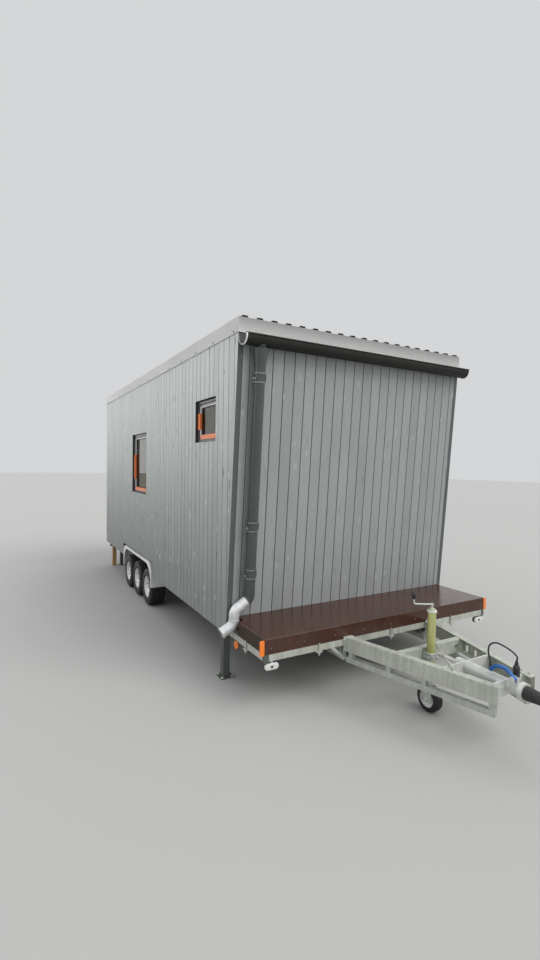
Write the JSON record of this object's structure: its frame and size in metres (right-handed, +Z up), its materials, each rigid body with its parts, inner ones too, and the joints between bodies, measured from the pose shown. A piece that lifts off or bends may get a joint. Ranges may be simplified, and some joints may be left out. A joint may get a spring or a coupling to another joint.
{
  "type": "tiny house on a triple-axle trailer",
  "caption": "Small timber-clad house with a flat roof on a low trailer chassis, with a front deck, drawbar, jack, gutter and downpipe.",
  "frame": {"origin": "on the ground under the middle of the outline, downpipe shoe and drawbar included", "axes": "+Y from the drawbar to the rear wall, along the house; +X to the right when facing the rear; +Z up"},
  "size_m": [2.5994, 7.327, 2.967],
  "materials": {
    "stained_boards": "matt grey stain on planed boards",
    "roof_coating": "matt dark coating",
    "insulation_panel": "raw",
    "light_flashing": "satin coating",
    "grey_coating": "satin coating",
    "galvanised": "hot-dip galvanised",
    "window_coating": "satin coating",
    "pane": "clear",
    "film_faced_plywood": "glossy brown film",
    "tyre_rubber": "matt",
    "yellow_zinc": "yellow passivated zinc",
    "dark_casting": "matt",
    "blue_grip": "satin",
    "black_rubber": "matt",
    "black_plastic": "matt",
    "grey_steel": "matt",
    "yellow_timber": "raw",
    "amber_plastic": "gloss"
  },
  "bodies": {
    "house_on_chassis": {"left_wall": "stained_boards", "right_wall": "stained_boards", "front_wall": "stained_boards", "rear_wall": "stained_boards", "floor_panel": "film_faced_plywood", "roof_panel": "insulation_panel", "roof_sheet": "roof_coating", "verge_flashings": "light_flashing", "fascia_flashings": "light_flashing", "gutter": "grey_coating", "downpipe": "grey_coating", "downpipe_clips": "grey_coating", "downpipe_shoe": "galvanised", "small_window_frame": "window_coating", "large_window_frame": "window_coating", "window_glass": "pane", "door_frame": "window_coating", "door_leaf": "stained_boards", "front_deck": "film_faced_plywood", "edge_frame": "galvanised", "main_beams": "galvanised", "lower_truss": "galvanised", "cross_beams": "galvanised", "axle_beams": "galvanised", "wheel_boxes": "galvanised", "drawbar_left": "galvanised", "drawbar_right": "galvanised", "drawbar_cross_member": "galvanised", "jack_tube": "yellow_zinc", "jack_leg": "galvanised", "overrun_housing": "galvanised", "coupling_head": "dark_casting", "plug_lead": "black_rubber", "plug": "black_plastic", "corner_steadies": "grey_steel", "timber_props": "yellow_timber", "lamps": "amber_plastic"},
    "left_wheel_1": {"wheel_left_1": "tyre_rubber"},
    "left_wheel_2": {"wheel_left_2": "tyre_rubber"},
    "left_wheel_3": {"wheel_left_3": "tyre_rubber"},
    "right_wheel_1": {"wheel_right_1": "tyre_rubber"},
    "right_wheel_2": {"wheel_right_2": "tyre_rubber"},
    "right_wheel_3": {"wheel_right_3": "tyre_rubber"},
    "jack_crank": {"jack_crank": "galvanised"},
    "brake_lever": {"brake_lever": "blue_grip"}
  },
  "joints": [
    {"name": "left_wheel_1_spin", "type": "hinge", "parent": "house_on_chassis", "child": "left_wheel_1", "pos_m": [-1.10227, 1.0015, 0.232], "axis": [1, 0, 0], "continuous": true},
    {"name": "left_wheel_2_spin", "type": "hinge", "parent": "house_on_chassis", "child": "left_wheel_2", "pos_m": [-1.10227, 1.5065, 0.232], "axis": [1, 0, 0], "continuous": true},
    {"name": "left_wheel_3_spin", "type": "hinge", "parent": "house_on_chassis", "child": "left_wheel_3", "pos_m": [-1.10227, 2.0115, 0.232], "axis": [1, 0, 0], "continuous": true},
    {"name": "right_wheel_1_spin", "type": "hinge", "parent": "house_on_chassis", "child": "right_wheel_1", "pos_m": [1.18773, 1.0015, 0.232], "axis": [1, 0, 0], "continuous": true},
    {"name": "right_wheel_2_spin", "type": "hinge", "parent": "house_on_chassis", "child": "right_wheel_2", "pos_m": [1.18773, 1.5065, 0.232], "axis": [1, 0, 0], "continuous": true},
    {"name": "right_wheel_3_spin", "type": "hinge", "parent": "house_on_chassis", "child": "right_wheel_3", "pos_m": [1.18773, 2.0115, 0.232], "axis": [1, 0, 0], "continuous": true},
    {"name": "jack_crank_turn", "type": "hinge", "parent": "house_on_chassis", "child": "jack_crank", "pos_m": [-0.01727, -2.5655, 0.765], "axis": [0, 0, 1], "continuous": true},
    {"name": "brake_lever_lift", "type": "hinge", "parent": "house_on_chassis", "child": "brake_lever", "pos_m": [0.01773, -3.19144, 0.491], "axis": [1, 0, 0], "range_deg": [0, 60]}
  ]
}
